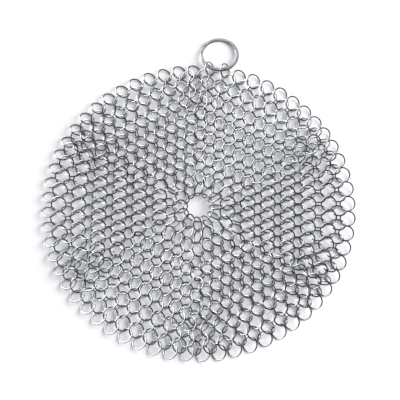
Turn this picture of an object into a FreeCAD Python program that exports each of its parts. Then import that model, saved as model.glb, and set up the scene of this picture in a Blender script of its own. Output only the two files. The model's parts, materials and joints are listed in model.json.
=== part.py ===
import FreeCAD, Part
import math
import os
import random

Vector = FreeCAD.Vector

# Driving sizes: alias, value in millimetres, degrees or a count, and what it is
SIZES = [
    ("ring_outside", 8.9, "outside diameter of a mail ring"),
    ("wire", 0.78, "diameter of the mail rings' wire"),
    ("link_slack", 1.05, "how far linked rings stand short of pulled taut"),
    ("band_slack", 0.8, "the same in the full rows, which are pulled out round"),
    ("ring_gap", 0.08, "least room between wires of the mail lying flat"),
    ("fold_gap", 0.05, "least room between wires at a fold's limit"),
    ("lean", 28.0, "lean of the rings, degrees from lying flat"),
    ("sides", 6, "spokes where the rows gain rings, a count"),
    ("first_row", 2, "rings from spoke to spoke in the row round the hole, a count"),
    ("full_row", 10, "rings from spoke to spoke in the full rows, a count"),
    ("band_rows", 5, "full rows outside the first full one, a count"),
    ("spoke_turn", 36.0, "turn of the first spoke from +X, degrees"),
    ("hole_rows", 3, "rows that the hole draws round, a count"),
    ("hole_round", 0.85, "how round the hole is, from 0 for six-sided to 1"),
    ("hole_pull", 0.8, "how far the row round the hole is drawn in"),
    ("hole_lean", 26.0, "how much steeper the row round the hole leans, degrees"),
    ("centre_outside", 17.4, "outside diameter of the ring that this row is strung on"),
    ("centre_rise", 0.1, "how far above the folds' axes it lies"),
    ("rest_rows", 9, "every which row, from the rim in, lies on the table, a count"),
    ("ride", 0.5, "how far the rows between ride up on those"),
    ("strips", 13, "strips that fold on one another, a count"),
    ("fold", 10.0, "fold of a strip on the next, either way, degrees"),
    ("shake", 0.1, "how far a ring lies off its even place"),
    ("shake_turn", 3.0, "how far a ring's lean strays, degrees"),
    ("hanger_outside", 22.0, "outside diameter of the hanging split ring"),
    ("hanger_width", 1.5, "width of its flat wire, across the ring"),
    ("hanger_thick", 0.55, "thickness of its flat wire"),
    ("hanger_edge", 0.15, "rounding of its flat wire's edges"),
    ("coil_gap", 0.42, "room between its two turns"),
    ("step_turn", 50.0, "arc over which it climbs to its second turn, degrees"),
    ("step_place", 155.0, "where it starts to climb, degrees from +X"),
    ("end_gap", 4.0, "arc left free between its ends and the climb, degrees"),
    ("hanger_link_lean", 56.0, "lean of the two rim rings that carry it, degrees"),
    ("hanger_link_out", 1.3, "how far those two are drawn out of the rim"),
    ("hanger_seat", 1.1, "how far out of those rings' middle its wire lies"),
    ("swing_up", 110.0, "swing of the hanging ring up from where it lies, degrees"),
    ("swing_down", 70.0, "its swing the other way, degrees"),
]

# How the rings settle
SAMPLES = 32
MOST_ROUNDS = 120
REFRESH = 20
SHARE = 1.1
SPARE = 0.03
NEARBY = 0.8
CORNER_RINGS = 3
SWING_STEPS = 18
SEED = 7

QUARTER = math.pi / 2
FULL_TURN = 2 * math.pi
SAMPLE_TURNS = [
    (math.cos(FULL_TURN * k / SAMPLES), math.sin(FULL_TURN * k / SAMPLES))
    for k in range(SAMPLES)
]


def make_sheet(doc):
    """The spreadsheet with one row per driving size."""
    sheet = doc.addObject("Spreadsheet::Sheet", "Sizes")
    for line, (alias, value, note) in enumerate(SIZES, 1):
        sheet.set(f"A{line}", note)
        sheet.set(f"B{line}", str(value))
        sheet.setAlias(f"B{line}", alias)
    doc.recompute()
    return sheet


class Ring:
    """A ring of wire: the middle, normal and radius of its circle, its row and strip."""

    def __init__(self, centre, normal, radius, row=0):
        self.centre = centre
        self.normal = normal
        self.radius = radius
        self.row = row
        self.strip = 0
        self.held = False

    def across(self):
        """Two directions in the ring's plane, the first one level."""
        level = Vector(-self.normal.y, self.normal.x, 0).normalize()
        return level, self.normal.cross(level)

    def points(self):
        """Points round the wire's circle, as plain numbers."""
        c, (u, v) = self.centre, self.across()
        u, v = u * self.radius, v * self.radius
        return [
            (c.x + p * u.x + q * v.x, c.y + p * u.y + q * v.y, c.z + q * v.z)
            for p, q in SAMPLE_TURNS
        ]

    def point(self, place):
        """The point of the wire's circle at a place counted in samples."""
        turn = FULL_TURN * place / SAMPLES
        u, v = self.across()
        return self.centre + (u * math.cos(turn) + v * math.sin(turn)) * self.radius


class Mail:
    """The woven disc: rows of rings laid out on six spokes, then settled."""

    def __init__(self, sheet):
        self.size = sheet
        self.wire = sheet.wire
        self.radius = (sheet.ring_outside - sheet.wire) / 2
        self.taut = sheet.ring_outside - 2 * sheet.wire
        self.half = math.pi / sheet.sides
        self.fold = math.radians(sheet.fold)
        self.axis_z = self.rest_height(math.radians(sheet.lean)) + sheet.ride
        self.random = random.Random(SEED)
        self.rings = []
        self.lay_rows()
        self.disc = 2 * max(math.hypot(r.centre.x, r.centre.y) for r in self.rings)
        self.disc += sheet.ring_outside
        self.strip_width = self.disc / sheet.strips
        self.folds = [k * self.strip_width - self.disc / 2 for k in range(1, int(sheet.strips))]
        for ring in self.rings:
            ring.strip = sum(ring.centre.x > x for x in self.folds)
        self.string_hole()
        self.hold_hanger_links()
        self.hang_ring()

    def rest_height(self, lean):
        """Height of a leaning ring's middle when its low edge is on the table."""
        return self.radius * math.sin(abs(lean)) + self.wire / 2

    def ride(self, row):
        """How far a row rides above the table: some rows lie on it and carry the rest."""
        return self.size.ride if (self.rim - row) % int(self.size.rest_rows) else 0.0

    def hole_share(self, row):
        """How far the hole draws a row: 1 in the row round it, down to 0."""
        return max(0.0, 1 - row / self.size.hole_rows)

    def lay_rows(self):
        """Hexagonal rows that gain a ring per spoke, then full rows that turn round."""
        size = self.size
        first, full, band = int(size.first_row), int(size.full_row), int(size.band_rows)
        counts = list(range(first, full + 1)) + [full] * band
        reach, band_reach = self.taut - size.link_slack, self.taut - size.band_slack
        self.rim = len(counts) - 1
        middle, shift = 0.0, 0.0
        for row, count in enumerate(counts):
            band_row = max(0, row - (full - first))
            hole_share = self.hole_share(row)
            straight = 1 - band_row / band - size.hole_round * hole_share * first / count
            if band_row:
                shift = 0.5 - shift
                middle += math.sqrt(band_reach**2 - (self.half * middle / count) ** 2)
            else:
                middle = reach * math.cos(self.half) * count - size.hole_pull * hole_share
            for side in range(int(size.sides)):
                for place in range(count):
                    share = 2 * (place + shift) / count - 1
                    corner = max(0.0, 1 - (1 - abs(share)) * count / 2 / CORNER_RINGS)
                    self.add_ring(row, side, middle, share, straight, corner)

    def add_ring(self, row, side, middle, share, straight, corner):
        """One ring at its share of a side, a little off its even place."""
        size = self.size
        stray = self.random.uniform
        out = math.radians(size.spoke_turn) + self.half * (2 * side + 1)
        on_hexagon = math.atan(math.tan(self.half) * share)
        swing = straight * on_hexagon + (1 - straight) * self.half * share
        radius = middle / math.cos(swing) ** straight
        turn = swing * (1 - straight) + straight * math.copysign(self.half, share) * corner
        along = out + QUARTER + turn + math.radians(stray(-size.shake_turn, size.shake_turn))
        steep = size.lean + size.hole_lean * self.hole_share(row)
        lean = math.radians(steep + stray(-size.shake_turn, size.shake_turn) / 2)
        if row % 2:
            lean = -lean
        centre = Vector(radius * math.cos(out + swing), radius * math.sin(out + swing), 0)
        centre += Vector(stray(-size.shake, size.shake), stray(-size.shake, size.shake), 0)
        centre.z = self.rest_height(lean) + self.ride(row)
        flat = math.sin(lean)
        normal = Vector(flat * math.cos(along), flat * math.sin(along), math.cos(lean))
        self.rings.append(Ring(centre, normal, self.radius, row))

    def string_hole(self):
        """Strings the row round the hole on one larger ring."""
        size = self.size
        centre = Vector(0, 0, self.axis_z + size.centre_rise)
        self.centre_ring = Ring(centre, Vector(0, 0, 1), (size.centre_outside - size.wire) / 2)
        self.centre_ring.held = True
        self.centre_ring.strip = int(size.strips) // 2
        self.by_centre = [ring for ring in self.rings if ring.row == 0]

    def hold_hanger_links(self):
        """Stands the two rim rings next to +Y steeper, at equal distances from it."""
        links = [ring for ring in self.rings if ring.row == self.rim]
        links.sort(key=lambda ring: abs(math.atan2(ring.centre.x, ring.centre.y)))
        lean = math.radians(self.size.hanger_link_lean)
        if self.rim % 2:
            lean = -lean
        aside = self.half / int(self.size.full_row)
        away = (self.disc - self.size.ring_outside) / 2 + self.size.hanger_link_out
        for ring, sense in zip(sorted(links[:2], key=lambda r: r.centre.x), (-1, 1)):
            ring.held = True
            ring.centre = Vector(sense * away * math.sin(aside), away * math.cos(aside), 0)
            ring.centre.z = self.rest_height(lean)
            along = QUARTER * 2 - sense * aside
            flat = math.sin(lean)
            ring.normal = Vector(flat * math.cos(along), flat * math.sin(along), math.cos(lean))
        self.hanger_links = [ring for ring in self.rings if ring.held]
        self.hanger_links.sort(key=lambda ring: ring.centre.x)

    def hang_ring(self):
        """Hangs the split ring in both links, its far edge on the table, and swings it."""
        size = self.size
        link = self.hanger_links[1]
        radius = (size.hanger_outside - size.hanger_width) / 2
        stack = 2 * size.hanger_thick + size.coil_gap
        reach = math.sqrt(radius**2 - link.centre.x**2)
        self.hinge = Vector(0, link.centre.y + size.hanger_seat, link.centre.z)
        self.drop = math.asin((link.centre.z - stack / 2) / (reach + size.hanger_outside / 2))
        self.hanger_room = (math.hypot(size.hanger_width, stack) + self.wire) / 2
        self.swung = []
        for step in range(SWING_STEPS + 1):
            swing = (size.swing_up + size.swing_down) * step / SWING_STEPS - size.swing_down
            turn = math.radians(swing) - self.drop
            out = Vector(0, math.cos(turn), math.sin(turn))
            up = Vector(0, -math.sin(turn), math.cos(turn))
            ring = Ring(self.hinge + out * reach, up, radius)
            ring.strip, ring.held = link.strip, True
            self.swung.append(ring)
        self.hanger_place = self.hinge + Vector(0, math.cos(self.drop), -math.sin(self.drop)) * reach
        far = reach + radius + self.hanger_room + self.radius
        self.by_hanger = [
            r for r in self.rings if not r.held and r.centre.distanceToPoint(self.hinge) < far
        ]

    def folded(self, vector, angle):
        """A direction turned by a fold, about Y."""
        q, s = math.cos(angle), math.sin(angle)
        return Vector(q * vector.x - s * vector.z, vector.y, s * vector.x + q * vector.z)

    def folded_ring(self, ring, line, angle):
        """A copy of a ring with its strip folded about the line at that X."""
        pivot = Vector(line, 0, self.axis_z)
        centre = pivot + self.folded(ring.centre - pivot, angle)
        return Ring(centre, self.folded(ring.normal, angle), ring.radius)

    def touches(self, points, ring, room):
        """Where sampled wire comes within room of a ring's wire: distance and place."""
        radius, c, n = ring.radius, ring.centre, ring.normal
        cx, cy, cz = c.x, c.y, c.z
        nx, ny, nz = n.x, n.y, n.z
        squares = []
        for px, py, pz in points:
            x, y, z = px - cx, py - cy, pz - cz
            off = x * nx + y * ny + z * nz
            flat = math.sqrt(abs(x * x + y * y + z * z - off * off))
            squares.append((flat - radius) ** 2 + off * off)
        found = []
        for k in range(SAMPLES):
            before, here, after = squares[k - 1], squares[k], squares[(k + 1) % SAMPLES]
            if here <= before and here < after:
                bow = before - 2 * here + after
                shift = (before - after) / bow / 2
                least = here - (before - after) * shift / 4
                if least < room * room:
                    found.append((math.sqrt(max(least, 0.0)), k + shift))
        return found

    def part_wires(self, ring, other, shown, angle, place, distance, room):
        """Moves two rings apart where their wires are too close, as light hoops would go."""
        here = ring.point(place)
        arm_other = here - shown.centre
        arm_other -= shown.normal * arm_other.dot(shown.normal)
        arm_other.normalize()
        arm_other *= shown.radius
        away = (here - shown.centre - arm_other).normalize()
        twist = (here - ring.centre).cross(away)
        twist_other = arm_other.cross(away)
        inertia = self.radius**2 / 2
        ease = 2 + (twist.dot(twist) + twist_other.dot(twist_other)) / inertia
        push = SHARE * (room - distance) / ease
        moves = [(ring, away, twist, push)]
        moves.append((other, self.folded(away, -angle), self.folded(twist_other, -angle), -push))
        for hoop, direction, spin, amount in moves:
            if not hoop.held:
                hoop.centre += direction * amount
                hoop.normal += spin.cross(hoop.normal) * (amount / inertia)
                hoop.normal.normalize()

    def poses(self, ring, other):
        """Rest, and both limits of the fold between two rings' strips."""
        yield other, 0.0, self.size.ring_gap
        if ring.strip != other.strip:
            line = self.folds[min(ring.strip, other.strip)]
            for fold in (self.fold, -self.fold):
                yield self.folded_ring(other, line, fold), fold, self.size.fold_gap

    def near_pairs(self):
        """Pairs of rings close enough to touch, now or after some settling."""
        limit = self.size.ring_outside + NEARBY
        pairs = []
        for k, ring in enumerate(self.rings):
            x, y = ring.centre.x, ring.centre.y
            for other in self.rings[k + 1 :]:
                if abs(other.centre.x - x) < limit and abs(other.centre.y - y) < limit:
                    if ring.centre.distanceToPoint(other.centre) < limit:
                        pairs.append((ring, other))
        return pairs

    def clear(self, ring, other, room):
        """Parts two rings whose wires come within room. Returns the least room to spare."""
        least = SPARE
        points = ring.points()
        for shown, angle, gap in self.poses(ring, other):
            wanted = room + gap + SPARE
            for distance, place in self.touches(points, shown, wanted):
                least = min(least, distance - room - gap)
                self.part_wires(ring, other, shown, angle, place, distance, wanted)
        return least

    def settle_round(self, pairs):
        """Parts each pair of wires that is too close. Returns the least room to spare."""
        least = min(self.clear(ring, other, self.wire) for ring, other in pairs)
        for ring in self.by_centre:
            least = min(least, self.clear(ring, self.centre_ring, self.wire))
        for ring in self.by_hanger:
            for hanger in self.swung:
                least = min(least, self.clear(ring, hanger, self.hanger_room))
        for ring in self.rings:
            lean = math.acos(min(1.0, ring.normal.z))
            if not ring.held:
                lowest = self.rest_height(lean) + self.ride(ring.row)
                ring.centre.z = max(lowest, ring.centre.z - SPARE)
        return least

    def settle(self):
        """Settles the rings until every wire has its room, lying flat and folded."""
        for count in range(MOST_ROUNDS):
            if count % REFRESH == 0:
                pairs = self.near_pairs()
            least = self.settle_round(pairs)
            if least >= 0:
                break
        print(f"mail: {len(self.rings)} rings, settled in {count + 1} rounds, spare room {least:.3f}")
        if least <= -min(self.size.ring_gap, self.size.fold_gap):
            raise RuntimeError("wires of the mail overlap")


def ring_object(doc, ring, name, outside):
    """A ring of the mail's wire as a torus bound to the sheet."""
    torus = doc.addObject("Part::Torus", name)
    torus.setExpression("Radius1", f"(Sizes.{outside} - Sizes.wire) / 2")
    torus.setExpression("Radius2", "Sizes.wire / 2")
    torus.Placement = FreeCAD.Placement(ring.centre, FreeCAD.Rotation(Vector(0, 0, 1), ring.normal))
    return torus


def ring_group(doc, label, rings, outside="ring_outside"):
    """One node: a group of separate rings of the same size, strip and row kind."""
    group = doc.addObject("Part::Compound", label)
    group.Label = label
    group.Links = [
        ring_object(doc, ring, f"{label}_{k:02d}", outside) for k, ring in enumerate(rings, 1)
    ]
    return group


def mail_groups(doc, mail):
    """Each strip's rim rings, odd-row rings and even-row rings, and the two hanger links."""
    rim = mail.rim
    kinds = {
        "rim_rings": lambda row: row == rim,
        "odd_row_rings": lambda row: row != rim and row % 2 == 0,
        "even_row_rings": lambda row: row != rim and row % 2 == 1,
    }
    groups = []
    for strip in range(int(mail.size.strips)):
        for kind, belongs in kinds.items():
            rings = [r for r in mail.rings if r.strip == strip and belongs(r.row) and not r.held]
            if rings:
                groups.append(ring_group(doc, f"strip_{strip + 1:02d}_{kind}", rings))
    groups.append(ring_group(doc, "centre_ring", [mail.centre_ring], "centre_outside"))
    for ring, side in zip(mail.hanger_links, ("left", "right")):
        groups.append(ring_group(doc, f"hanger_link_{side}", [ring]))
    return groups


def arc_from(start, tangent, end):
    """The circle's arc that leaves start along tangent and comes to end."""
    chord = end - start
    to_end = Vector(chord).normalize()
    bisector = (Vector(tangent).normalize() + to_end).normalize()
    half_angle = bisector.getAngle(to_end)
    middle = start + bisector * (chord.Length / 2 / math.cos(half_angle))
    return Part.Arc(start, middle, end).toShape()


def climb(start, tangent, end, end_tangent):
    """Two arcs that join two level arcs at different heights, tangent at both ends."""
    across = end - start
    both = across.dot(tangent + end_tangent)
    bend = 2 * (1 - tangent.dot(end_tangent))
    length = (math.sqrt(both**2 + bend * across.dot(across)) - both) / bend
    joint = (start + end + (tangent - end_tangent) * length) / 2
    second = arc_from(end, end_tangent * -1, joint)
    return [arc_from(start, tangent, joint), second]


def split_ring_path(size):
    """The middle line of the flat wire: a level turn, a climb and a second level turn."""
    radius = (size.hanger_outside - size.hanger_width) / 2
    rise = size.hanger_thick + size.coil_gap
    begin = math.radians(size.step_place)
    step = math.radians(size.step_turn)
    level = FULL_TURN - step - math.radians(size.end_gap)

    def at(angle, height):
        return Vector(radius * math.cos(angle), radius * math.sin(angle), height)

    def heading(angle):
        return Vector(-math.sin(angle), math.cos(angle), 0)

    def level_turn(start, height):
        quarters = math.ceil(level / QUARTER)
        turns = [start + level * k / quarters for k in range(quarters + 1)]
        return [arc_from(at(a, height), heading(a), at(b, height)) for a, b in zip(turns, turns[1:])]

    low, high = -rise / 2, rise / 2
    edges = level_turn(begin - level, low)
    edges += climb(at(begin, low), heading(begin), at(begin + step, high), heading(begin + step))
    edges += level_turn(begin + step, high)
    return Part.Wire(Part.sortEdges(edges)[0]), at(begin - level, low), heading(begin - level)


def flat_wire_section(size, centre, heading):
    """The flat wire's section square to its path, with rounded edges."""
    wide, thick, edge = size.hanger_width / 2, size.hanger_thick / 2, size.hanger_edge
    out = heading.cross(Vector(0, 0, 1))
    up = Vector(0, 0, 1)
    slant = edge * (1 - math.sqrt(0.5))
    edges = []
    corners = [(1, 1), (-1, 1), (-1, -1), (1, -1)]

    def spot(across, along):
        return centre + out * across + up * along

    ends = []
    for x, y in corners:
        on_side = spot(x * wide, y * (thick - edge))
        on_face = spot(x * (wide - edge), y * thick)
        first, last = (on_side, on_face) if x == y else (on_face, on_side)
        edges.append(Part.Arc(first, spot(x * (wide - slant), y * (thick - slant)), last).toShape())
        ends.append((first, last))
    for k, (first, last) in enumerate(ends):
        edges.append(Part.makeLine(last, ends[(k + 1) % len(ends)][0]))
    return Part.Wire(Part.sortEdges(edges)[0])


def least_turn_gap(path, size):
    """The least gap between the two turns, measured on points along the path."""
    points = path.discretize(Number=400)
    apart = size.hanger_width * 2
    step = path.Length / len(points)
    skip = math.ceil(apart / step)
    least = min(
        points[i].distanceToPoint(points[j])
        for i in range(len(points))
        for j in range(i + skip, len(points))
    )
    return least - size.hanger_thick


def split_ring(doc, size, mail):
    """The hanging ring: flat wire wound in two turns, hung in the two hanger links."""
    path, start, heading = split_ring_path(size)
    pipe = Part.BRepOffsetAPI.MakePipeShell(path)
    pipe.setBiNormalMode(Vector(0, 0, 1))
    pipe.add(flat_wire_section(size, start, heading))
    pipe.build()
    pipe.makeSolid()
    ring = doc.addObject("Part::Feature", "hanging_split_ring")
    ring.Label = "hanging_split_ring"
    ring.Shape = pipe.shape()
    section = Part.Face(flat_wire_section(size, start, heading)).Area
    print(f"split ring: volume over section times length {ring.Shape.Volume / section / path.Length:.4f}")
    print(f"split ring: least gap between its turns {least_turn_gap(path, size):.2f}")

    drop = math.degrees(mail.drop)
    ring.Placement = FreeCAD.Placement(mail.hanger_place, FreeCAD.Rotation(Vector(1, 0, 0), -drop))
    print(f"split ring: hinge at Y {mail.hinge.y:.3f} Z {mail.hinge.z:.3f}, lies {drop:.2f} degrees down")
    return ring


doc = FreeCAD.newDocument("PotScrubber")
sizes = make_sheet(doc)
mail = Mail(sizes)
mail.settle()
nodes = mail_groups(doc, mail)
nodes.append(split_ring(doc, sizes, mail))
doc.recompute()

for item in doc.Objects:
    if "Invalid" in item.State or "Error" in item.State:
        raise RuntimeError(f"{item.Label} did not compute")
for node in nodes:
    if node.Shape.isNull() or not node.Shape.isValid():
        raise RuntimeError(f"{node.Label} has no valid shape")

print(f"disc {mail.disc:.2f}, folds at X {[round(x, 3) for x in mail.folds]}, Z {mail.axis_z:.3f}")
os.makedirs("parts", exist_ok=True)
for node in nodes:
    node.Shape.exportStep(f"parts/{node.Label}.step")
print(f"{len(nodes)} nodes, {sum(len(node.Shape.Solids) for node in nodes)} solids")
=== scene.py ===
"""Looks for a chain-mail pot scrubber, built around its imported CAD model."""
import json
import math
import random

import bpy
import numpy as np
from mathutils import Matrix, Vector


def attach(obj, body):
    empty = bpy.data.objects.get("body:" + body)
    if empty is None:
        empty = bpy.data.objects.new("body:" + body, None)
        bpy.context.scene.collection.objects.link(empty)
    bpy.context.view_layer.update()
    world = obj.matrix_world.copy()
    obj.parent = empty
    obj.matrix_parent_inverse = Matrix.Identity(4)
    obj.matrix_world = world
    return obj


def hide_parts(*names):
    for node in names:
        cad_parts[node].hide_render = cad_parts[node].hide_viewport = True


bl_info = {
    "name": "Mail Pot Scrubber",
    "version": (1, 0, 0),
    "blender": (4, 5, 0),
    "location": "View3D > Sidebar > Scrubber",
    "description": "Welded wire rings, the hanging split ring and the studio of a mail pot scrubber",
    "category": "Object",
}

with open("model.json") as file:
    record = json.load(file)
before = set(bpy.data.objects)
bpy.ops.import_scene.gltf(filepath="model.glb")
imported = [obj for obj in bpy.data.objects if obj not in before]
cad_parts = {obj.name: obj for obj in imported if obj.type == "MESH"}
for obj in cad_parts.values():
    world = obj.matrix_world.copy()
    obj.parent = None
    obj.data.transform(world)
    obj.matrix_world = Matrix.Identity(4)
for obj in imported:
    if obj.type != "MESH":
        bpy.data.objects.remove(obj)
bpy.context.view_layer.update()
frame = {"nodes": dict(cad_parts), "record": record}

IMAGE = 400
SENSOR = 36.0
CLIP_START = 0.01
MM = 0.001
FULL_TURN = 2 * math.pi
HANGER_NODE = "hanging_split_ring"

# Rings: the seed of their strays, the spread of their numbers, and how close points are the same
SEED = 11
NUMBER_SPREAD = 50
SAME_PLACE = 0.001 * MM

# Mesh attributes that the wire's material reads
WIRE_PLACE = "wire_place"
RING_TONE = "ring_tone"
WELD_MARK = "weld_mark"

# Wire's textures: millimetres along it and around it, and the ring's number
LINE_STRETCH = (0.35, 7.0, 3.7)
PIT_SCALE, PIT_DETAIL = 5.0, 4.0
CLOUD_SCALE, CLOUD_DETAIL = 0.45, 2.0
DULL_BY_RING, DULL_BY_CLOUD, DULL_BY_LINE, DULL_START = 0.55, 0.5, 0.35, 0.25
ROUGH_BY_RING, ROUGH_BY_LINE, ROUGH_BY_CLOUD, ROUGH_BY_WELD = 0.09, 0.1, 0.07, 0.14
RELIEF_SHARE = 0.5
WIRE_BUMP = 0.12

# Plate's textures: metres in the part's frame
WEAR_SCALE, WEAR_DETAIL = 420.0, 4.0
SCRATCH_STRETCH = (900.0, 900.0, 6000.0)
RUB_BY_WEAR, RUB_BY_SCRATCH, RUB_START = 1.6, 0.5, 0.65
ROUGH_BY_RUB, ROUGH_BY_SCRATCH = 0.05, 0.03
PLATE_BUMP = 0.1

# Both steels
DRAWN_SCALE, DRAWN_DETAIL = 1.0, 3.0
BUMP_DEPTH = 0.02 * MM

# Studio, in metres
FLOOR_HALF = 3.0
FLOOR_ROUGHNESS, FLOOR_SHINE = 0.9, 0.1
CARD_HALF, CARD_HEIGHT = 1.2, 1.3
CARD_HIDDEN_FROM = ("camera", "diffuse", "transmission", "volume_scatter", "shadow")
KEY_PLACE, KEY_SIZE = (1.4, 0.35, 1.1), (1.5, 1.5)
BACK_PLACE, BACK_SIZE = (-0.8, 0.6, 0.53), (1.25, 0.75)


class MailSettings(bpy.types.PropertyGroup):
    """Sizes and finish of the welded mail rings."""

    wire: bpy.props.FloatProperty(
        name="Wire", description="Diameter of the mail rings' wire", default=0.00078, unit="LENGTH"
    )
    along: bpy.props.IntProperty(
        name="Faces Along", description="Faces along the wire of one ring", default=60, min=12
    )
    around: bpy.props.IntProperty(
        name="Faces Around", description="Faces around the wire", default=12, min=6
    )
    weld_length: bpy.props.FloatProperty(
        name="Weld Length", description="Length of wire that a ring's weld swells",
        default=0.0011, unit="LENGTH",
    )
    weld_swell: bpy.props.FloatProperty(
        name="Weld Swell", description="How much thicker the wire is at the weld",
        default=0.04, subtype="FACTOR",
    )
    out_of_round: bpy.props.FloatProperty(
        name="Out of Round", description="How far a ring strays from a true circle",
        default=0.004, subtype="FACTOR",
    )
    bright: bpy.props.FloatVectorProperty(
        name="Bright Steel", description="Colour of the tumbled wire",
        default=(0.4, 0.408, 0.43), subtype="COLOR",
    )
    dull: bpy.props.FloatVectorProperty(
        name="Dull Steel", description="Colour of the less polished rings",
        default=(0.25, 0.257, 0.276), subtype="COLOR",
    )
    weld_tint: bpy.props.FloatVectorProperty(
        name="Weld Tint", description="Colour of the heat tint at the welds",
        default=(0.36, 0.355, 0.35), subtype="COLOR",
    )
    roughness: bpy.props.FloatProperty(
        name="Roughness", description="Roughness of the brightest wire",
        default=0.14, subtype="FACTOR",
    )


class SplitRingSettings(bpy.types.PropertyGroup):
    """Finish of the hanging split ring."""

    plate: bpy.props.FloatVectorProperty(
        name="Plate", description="Colour of the plated spring wire",
        default=(0.4, 0.4, 0.41), subtype="COLOR",
    )
    rubbed: bpy.props.FloatVectorProperty(
        name="Rubbed Plate", description="Colour where the plate is rubbed",
        default=(0.34, 0.34, 0.35), subtype="COLOR",
    )
    roughness: bpy.props.FloatProperty(
        name="Roughness", description="Roughness of the plate", default=0.42, subtype="FACTOR"
    )


class StageSettings(bpy.types.PropertyGroup):
    """Camera, floor and lamps."""

    turn: bpy.props.FloatProperty(
        name="Camera Turn", description="Turn of the camera from straight in front",
        default=math.radians(7.4), subtype="ANGLE",
    )
    rise: bpy.props.FloatProperty(
        name="Camera Rise", description="Angle of the camera above the floor",
        default=math.radians(70), subtype="ANGLE",
    )
    distance: bpy.props.FloatProperty(
        name="Camera Distance", description="From the camera to the centre hole",
        default=0.8, unit="LENGTH",
    )
    hole_x: bpy.props.FloatProperty(
        name="Hole X", description="Where the centre hole shows, across the image",
        default=198.4, subtype="PIXEL",
    )
    hole_y: bpy.props.FloatProperty(
        name="Hole Y", description="Where the centre hole shows, down the image",
        default=209.2, subtype="PIXEL",
    )
    scale: bpy.props.FloatProperty(
        name="Scale", description="Pixels that a metre at the centre hole takes", default=1813.0
    )
    floor: bpy.props.FloatVectorProperty(
        name="Floor", description="Colour of the floor", default=(0.95, 0.95, 0.95), subtype="COLOR"
    )
    sky: bpy.props.FloatVectorProperty(
        name="Sky", description="Colour of the light from all round",
        default=(0.93, 0.95, 1.0), subtype="COLOR",
    )
    floor_glow: bpy.props.FloatProperty(
        name="Floor Glow", description="Share of white on the floor under the mail",
        default=0.04, subtype="FACTOR",
    )
    near: bpy.props.FloatProperty(
        name="Shaded Floor", description="Distance from the centre hole at which the floor starts to whiten",
        default=0.13, unit="LENGTH",
    )
    far: bpy.props.FloatProperty(
        name="White Floor", description="Distance from the centre hole at which the floor is all white",
        default=0.4, unit="LENGTH",
    )
    ambient: bpy.props.FloatProperty(
        name="Ambient", description="Strength of the light from all round", default=0.43
    )
    key: bpy.props.FloatProperty(name="Key", description="Key lamp's power", default=50.0, unit="POWER")
    back: bpy.props.FloatProperty(name="Back", description="Back lamp's power", default=36.0, unit="POWER")
    card: bpy.props.FloatVectorProperty(
        name="Cards", description="Colour of the dark cards that the steel mirrors",
        default=(0.015, 0.015, 0.016), subtype="COLOR",
    )


class Shade:
    """A node's output that can be used in sums. add() makes any node of the same tree."""

    def __init__(self, tree, socket=None):
        self.tree = tree
        self.socket = socket

    def add(self, kind, settings=None, inputs=None, output=0):
        """A new node: its settings first, then the values or links of its sockets."""
        node = self.tree.nodes.new(kind)
        for name, value in (settings or {}).items():
            setattr(node, name, value)
        for name, value in (inputs or {}).items():
            if isinstance(value, Shade):
                self.tree.links.new(value.socket, node.inputs[name])
            else:
                node.inputs[name].default_value = value
        return Shade(self.tree, node.outputs[output] if node.outputs else None)

    def math(self, operation, first, second):
        return self.add("ShaderNodeMath", {"operation": operation}, {0: first, 1: second})

    def __add__(self, other):
        return self.math("ADD", self, other)

    def __radd__(self, other):
        return self.math("ADD", other, self)

    def __sub__(self, other):
        return self.math("SUBTRACT", self, other)

    def __rsub__(self, other):
        return self.math("SUBTRACT", other, self)

    def __mul__(self, other):
        return self.math("MULTIPLY", self, other)

    def __rmul__(self, other):
        return self.math("MULTIPLY", other, self)

    def capped(self):
        """The value kept between 0 and 1."""
        return self.add("ShaderNodeClamp", inputs={"Value": self})

    def blend(self, first, second):
        """A colour between two, by this value."""
        settings = {"data_type": "RGBA"}
        inputs = {"Factor": self, 6: as_colour(first), 7: as_colour(second)}
        return self.add("ShaderNodeMix", settings, inputs, output=2)


def as_colour(value):
    """A colour with its alpha, or a link as it is."""
    return value if isinstance(value, Shade) else (*value, 1)


def new_object(name, data):
    """A new object in the scene."""
    thing = bpy.data.objects.new(name, data)
    bpy.context.scene.collection.objects.link(thing)
    return thing


def new_material(name):
    """An empty node material, and the start of its tree."""
    material = bpy.data.materials.new(name)
    material.use_nodes = True
    material.node_tree.nodes.clear()
    return material, Shade(material.node_tree)


def noise(start, place, scale, detail):
    """Noise from 0 to 1 at a place."""
    return start.add("ShaderNodeTexNoise", inputs={"Vector": place, "Scale": scale, "Detail": detail})


def drawn_noise(start, place, stretch):
    """Noise that is drawn out along one direction."""
    drawn = start.add("ShaderNodeVectorMath", {"operation": "MULTIPLY"}, {0: place, 1: stretch})
    return noise(start, drawn, DRAWN_SCALE, DRAWN_DETAIL)


def steel_surface(start, colour, roughness, relief, bump):
    """A bare metal surface with a fine relief, as the material's output."""
    normal = start.add("ShaderNodeBump", inputs={"Strength": bump, "Distance": BUMP_DEPTH, "Height": relief})
    inputs = {"Base Color": colour, "Metallic": 1.0, "Roughness": roughness, "Normal": normal}
    surface = start.add("ShaderNodeBsdfPrincipled", inputs=inputs)
    start.add("ShaderNodeOutputMaterial", inputs={"Surface": surface})


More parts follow.
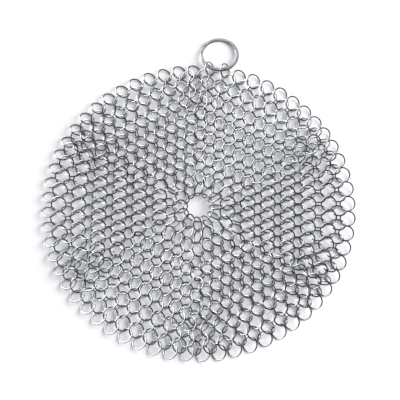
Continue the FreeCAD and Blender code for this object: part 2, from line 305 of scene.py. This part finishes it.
def mail_material(mail):
    """Tumbled stainless wire: drawn lines, fine pits, duller rings and heat tint at the welds."""
    material, start = new_material("mail_wire_steel")
    place = start.add("ShaderNodeAttribute", {"attribute_name": WIRE_PLACE}, output="Vector")
    tone = start.add("ShaderNodeAttribute", {"attribute_name": RING_TONE}, output="Fac")
    weld = start.add("ShaderNodeAttribute", {"attribute_name": WELD_MARK}, output="Fac")
    lines = drawn_noise(start, place, LINE_STRETCH)
    pits = noise(start, place, PIT_SCALE, PIT_DETAIL)
    cloud = noise(start, place, CLOUD_SCALE, CLOUD_DETAIL)
    dull = (DULL_BY_RING * tone + DULL_BY_CLOUD * cloud + DULL_BY_LINE * lines - DULL_START).capped()
    colour = weld.blend(dull.blend(mail.bright, mail.dull), mail.weld_tint)
    rough = mail.roughness + ROUGH_BY_RING * tone + ROUGH_BY_LINE * lines
    rough = rough + ROUGH_BY_CLOUD * cloud + ROUGH_BY_WELD * weld
    relief = lines * RELIEF_SHARE + pits * RELIEF_SHARE
    steel_surface(start, colour, rough, relief, WIRE_BUMP)
    return material


def split_ring_material(ring):
    """Plated flat spring wire, rubbed here and there, with fine scratches."""
    material, start = new_material("split_ring_plate")
    place = start.add("ShaderNodeTexCoord", output="Object")
    wear = noise(start, place, WEAR_SCALE, WEAR_DETAIL)
    scratch = drawn_noise(start, place, SCRATCH_STRETCH)
    rubbed = (RUB_BY_WEAR * wear + RUB_BY_SCRATCH * scratch - RUB_START).capped()
    colour = rubbed.blend(ring.plate, ring.rubbed)
    rough = ring.roughness + ROUGH_BY_RUB * rubbed + ROUGH_BY_SCRATCH * scratch
    steel_surface(start, colour, rough, scratch, PLATE_BUMP)
    return material


def loose_parts(mesh):
    """The places of a mesh's vertices, one array for each loose part, in order along X, Y and Z."""
    places = np.empty(len(mesh.vertices) * 3)
    mesh.vertices.foreach_get("co", places)
    places = places.reshape(-1, 3)
    edges = np.empty(len(mesh.edges) * 2, dtype=np.int64)
    mesh.edges.foreach_get("vertices", edges)
    cells = np.round(places / SAME_PLACE)
    _, first, same = np.unique(cells, axis=0, return_index=True, return_inverse=True)
    ends = same.reshape(-1)[edges].reshape(-1, 2)
    label = np.arange(len(first))
    while True:
        least = np.minimum(label[ends[:, 0]], label[ends[:, 1]])
        new = label.copy()
        np.minimum.at(new, ends[:, 0], least)
        np.minimum.at(new, ends[:, 1], least)
        new = new[new]
        if np.array_equal(new, label):
            break
        label = new
    return [places[first[label == part]] for part in np.unique(label)]


def ring_axes(points, wire):
    """Middle of a ring, two directions across it and its normal, and its radius at the wire's middle."""
    middle = points.mean(axis=0)
    across = np.linalg.svd(points - middle, full_matrices=False)[2]
    outside = np.linalg.norm((points - middle) @ across[:2].T, axis=1).max()
    return middle, across, outside - wire / 2


class RingMaker:
    """Builds welded rings of round wire into one mesh."""

    def __init__(self, mail, chance):
        self.mail = mail
        self.chance = chance
        self.turns = np.linspace(0, FULL_TURN, mail.along, endpoint=False)
        self.rolls = np.linspace(0, FULL_TURN, mail.around, endpoint=False)
        self.places, self.marks, self.tones, self.welds = [], [], [], []

    def add_ring(self, points):
        """One ring on the circle of a CAD ring's points: its weld and its roundness are its own."""
        mail, chance = self.mail, self.chance
        middle, (first, second, normal), ring_radius = ring_axes(points, mail.wire)
        weld_turn = chance.uniform(0, FULL_TURN)
        oval_turn = chance.uniform(0, FULL_TURN)
        number = chance.uniform(0, NUMBER_SPREAD)
        swing = (self.turns - weld_turn + math.pi) % FULL_TURN - math.pi
        along = swing * ring_radius
        weld = np.exp(-((along / (mail.weld_length / 2)) ** 2))
        radius = ring_radius * (1 + mail.out_of_round / 2 * np.cos(2 * (self.turns - oval_turn)))
        thick = mail.wire / 2 * (1 + mail.weld_swell * weld)
        out = np.outer(np.cos(self.turns), first) + np.outer(np.sin(self.turns), second)
        reach = radius[:, None] + thick[:, None] * np.cos(self.rolls)
        lift = thick[:, None] * np.sin(self.rolls)
        self.places.append(middle + reach[..., None] * out[:, None] + lift[..., None] * normal)
        marks = np.empty((len(self.turns), len(self.rolls), 3))
        marks[..., 0] = along[:, None] / MM
        marks[..., 1] = np.abs(self.rolls - math.pi) * mail.wire / 2 / MM
        marks[..., 2] = number
        self.marks.append(marks)
        self.tones.append(np.full(marks.shape[:2], chance.random()))
        self.welds.append(np.repeat(weld[:, None], len(self.rolls), axis=1))

    def faces(self):
        """The four corners of each face, for all rings."""
        along, around = len(self.turns), len(self.rolls)
        here = np.arange(along * around).reshape(along, around)
        ahead, beside = np.roll(here, -1, axis=0), np.roll(here, -1, axis=1)
        both = np.roll(ahead, -1, axis=1)
        one = np.stack([here, ahead, both, beside], axis=-1).reshape(-1, 4)
        starts = np.arange(len(self.places)) * along * around
        return (one[None] + starts[:, None, None]).reshape(-1, 4)

    def build(self, name):
        """The rings as one smooth object, with what the wire's material reads."""
        mesh = bpy.data.meshes.new(name)
        places = np.concatenate([p.reshape(-1, 3) for p in self.places])
        mesh.from_pydata(places.tolist(), [], self.faces().tolist())
        mesh.polygons.foreach_set("use_smooth", np.ones(len(mesh.polygons), dtype=bool))
        marks = mesh.attributes.new(WIRE_PLACE, "FLOAT_VECTOR", "POINT")
        marks.data.foreach_set("vector", np.concatenate([m.reshape(-1) for m in self.marks]))
        for title, values in ((RING_TONE, self.tones), (WELD_MARK, self.welds)):
            attribute = mesh.attributes.new(title, "FLOAT", "POINT")
            attribute.data.foreach_set("value", np.concatenate([v.reshape(-1) for v in values]))
        mesh.update()
        return new_object(name, mesh)


def body_of_node(node):
    """The body that a CAD node belongs to."""
    for body, members in frame["record"]["behaviour"]["bodies"].items():
        if node in members:
            return body
    raise RuntimeError(f"no body holds {node}")


def weave_node(node, name, mail, material, chance):
    """Welded rings in place of one CAD node's plain ones."""
    maker = RingMaker(mail, chance)
    for points in loose_parts(frame["nodes"][node].data):
        maker.add_ring(points)
    piece = maker.build(name)
    piece.data.materials.append(material)
    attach(piece, body_of_node(node))
    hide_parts(node)


def aim(thing, target):
    """Turns a lamp or camera to look at a point."""
    thing.rotation_euler = (Vector(target) - thing.location).to_track_quat("-Z", "Y").to_euler()


def softbox(name, place, size, power):
    """A softbox that looks at the centre hole."""
    light = bpy.data.lights.new(name, "AREA")
    light.shape = "RECTANGLE"
    light.size, light.size_y = size
    light.energy = power
    lamp = new_object(name, light)
    lamp.location = place
    aim(lamp, (0, 0, 0))
    return lamp


def square(half, height):
    """The corners of a level square about the centre hole's axis."""
    return [(-half, -half, height), (half, -half, height), (half, half, height), (-half, half, height)]


def seen(start):
    """1 for what the camera sees, directly, mirrored or through glass."""
    rays = ("Is Camera Ray", "Is Glossy Ray", "Is Transmission Ray")
    direct, mirrored, through = (start.add("ShaderNodeLightPath", output=ray) for ray in rays)
    return (direct + mirrored + through).capped()


class SCRUBBER_OT_mail(bpy.types.Operator):
    """Weave the welded rings of the mail, strip by strip"""

    bl_idname = "scrubber.mail"
    bl_label = "Weave Mail"

    def execute(self, context):
        mail = context.scene.scrubber_mail
        chance = random.Random(SEED)
        material = mail_material(mail)
        for node in sorted(frame["nodes"]):
            if node != HANGER_NODE:
                weave_node(node, f"woven_{node}", mail, material, chance)
        return {"FINISHED"}


class SCRUBBER_OT_split_ring(bpy.types.Operator):
    """Plate the hanging split ring"""

    bl_idname = "scrubber.split_ring"
    bl_label = "Plate Split Ring"

    def execute(self, context):
        ring = frame["nodes"][HANGER_NODE]
        ring.data.materials.clear()
        ring.data.materials.append(split_ring_material(context.scene.scrubber_split_ring))
        return {"FINISHED"}


class SCRUBBER_OT_stage(bpy.types.Operator):
    """Set up the floor, the cards, the lamps and the camera"""

    bl_idname = "scrubber.stage"
    bl_label = "Set Stage"

    def execute(self, context):
        stage = context.scene.scrubber_stage
        context.scene.view_settings.view_transform = "Standard"
        self.world(context.scene, stage)
        self.floor(stage)
        self.cards(stage)
        key = softbox("key_softbox", KEY_PLACE, KEY_SIZE, stage.key)
        key.visible_glossy = False
        back = softbox("back_softbox", BACK_PLACE, BACK_SIZE, stage.back)
        back.visible_diffuse = False
        self.camera(context.scene, stage)
        return {"FINISHED"}

    def world(self, scene, stage):
        """White where it is seen, and an even light for the rest."""
        scene.world = bpy.data.worlds.new("white_room")
        scene.world.use_nodes = True
        scene.world.node_tree.nodes.clear()
        start = Shade(scene.world.node_tree)
        strength = seen(start) * (1 - stage.ambient) + stage.ambient
        light = start.add("ShaderNodeBackground", inputs={"Color": (*stage.sky, 1), "Strength": strength})
        start.add("ShaderNodeOutputWorld", inputs={"Surface": light})

    def floor(self, stage):
        """A plain pale floor, which takes the shadows near the mail and is white further out."""
        mesh = bpy.data.meshes.new("floor")
        mesh.from_pydata(square(FLOOR_HALF, 0), [], [(0, 1, 2, 3)])
        material, start = new_material("pale_floor")
        inputs = {
            "Base Color": (*stage.floor, 1),
            "Roughness": FLOOR_ROUGHNESS,
            "Specular IOR Level": FLOOR_SHINE,
        }
        paper = start.add("ShaderNodeBsdfPrincipled", inputs=inputs)
        white = start.add("ShaderNodeEmission", inputs={"Color": (1, 1, 1, 1), "Strength": 1.0})
        place = start.add("ShaderNodeNewGeometry")
        away = start.add("ShaderNodeVectorMath", {"operation": "LENGTH"}, {0: place}, output=1)
        limits = {
            "Value": away,
            "From Min": stage.near,
            "From Max": stage.far,
            "To Min": stage.floor_glow,
        }
        glow = start.add("ShaderNodeMapRange", {"interpolation_type": "SMOOTHSTEP"}, limits)
        surface = start.add("ShaderNodeMixShader", inputs={0: glow * seen(start), 1: paper, 2: white})
        start.add("ShaderNodeOutputMaterial", inputs={"Surface": surface})
        mesh.materials.append(material)
        new_object("floor", mesh)

    def cards(self, stage):
        """Dark cards overhead and all round, which only the steel mirrors."""
        points = square(CARD_HALF, 0) + square(CARD_HALF, CARD_HEIGHT)
        faces = [(0, 1, 5, 4), (1, 2, 6, 5), (2, 3, 7, 6), (3, 0, 4, 7), (4, 5, 6, 7)]
        mesh = bpy.data.meshes.new("dark_cards")
        mesh.from_pydata(points, [], faces)
        material, start = new_material("dark_card")
        surface = start.add("ShaderNodeEmission", inputs={"Color": (*stage.card, 1), "Strength": 1.0})
        start.add("ShaderNodeOutputMaterial", inputs={"Surface": surface})
        mesh.materials.append(material)
        piece = new_object("dark_cards", mesh)
        for ray in CARD_HIDDEN_FROM:
            setattr(piece, f"visible_{ray}", False)

    def camera(self, scene, stage):
        """The photograph's view: the hole at its place in the image and the disc at its width."""
        data = bpy.data.cameras.new("camera")
        camera = new_object("camera", data)
        back = Vector((
            math.sin(stage.turn) * math.cos(stage.rise),
            -math.cos(stage.turn) * math.cos(stage.rise),
            math.sin(stage.rise),
        ))
        right = Vector((math.cos(stage.turn), math.sin(stage.turn), 0))
        up = back.cross(right)
        centre = IMAGE / 2
        across = (centre - stage.hole_x) / stage.scale
        above = (stage.hole_y - centre) / stage.scale
        target = right * across + up * above
        camera.location = target + back * stage.distance
        data.sensor_width = SENSOR
        data.lens = SENSOR * stage.scale * stage.distance / IMAGE
        data.clip_start = CLIP_START
        aim(camera, target)
        scene.camera = camera


class SCRUBBER_PT_panel(bpy.types.Panel):
    """Sizes, colours and steps of the scrubber"""

    bl_idname = "SCRUBBER_PT_panel"
    bl_label = "Mail Pot Scrubber"
    bl_space_type = "VIEW_3D"
    bl_region_type = "UI"
    bl_category = "Scrubber"

    def draw(self, context):
        for group, operator in STEPS:
            box = self.layout.box()
            settings = getattr(context.scene, group)
            for title in settings.__annotations__:
                box.prop(settings, title)
            box.operator(operator)


GROUPS = {
    "scrubber_mail": MailSettings,
    "scrubber_split_ring": SplitRingSettings,
    "scrubber_stage": StageSettings,
}
STEPS = (
    ("scrubber_mail", SCRUBBER_OT_mail.bl_idname),
    ("scrubber_split_ring", SCRUBBER_OT_split_ring.bl_idname),
    ("scrubber_stage", SCRUBBER_OT_stage.bl_idname),
)
CLASSES = (
    *GROUPS.values(),
    SCRUBBER_OT_mail,
    SCRUBBER_OT_split_ring,
    SCRUBBER_OT_stage,
    SCRUBBER_PT_panel,
)


def register():
    for item in CLASSES:
        bpy.utils.register_class(item)
    for title, group in GROUPS.items():
        setattr(bpy.types.Scene, title, bpy.props.PointerProperty(type=group))


def unregister():
    for title in GROUPS:
        delattr(bpy.types.Scene, title)
    for item in reversed(CLASSES):
        bpy.utils.unregister_class(item)


def main():
    """Builds every piece in order."""
    register()
    bpy.ops.scrubber.mail()
    bpy.ops.scrubber.split_ring()
    bpy.ops.scrubber.stage()


if __name__ == "__main__":
    main()
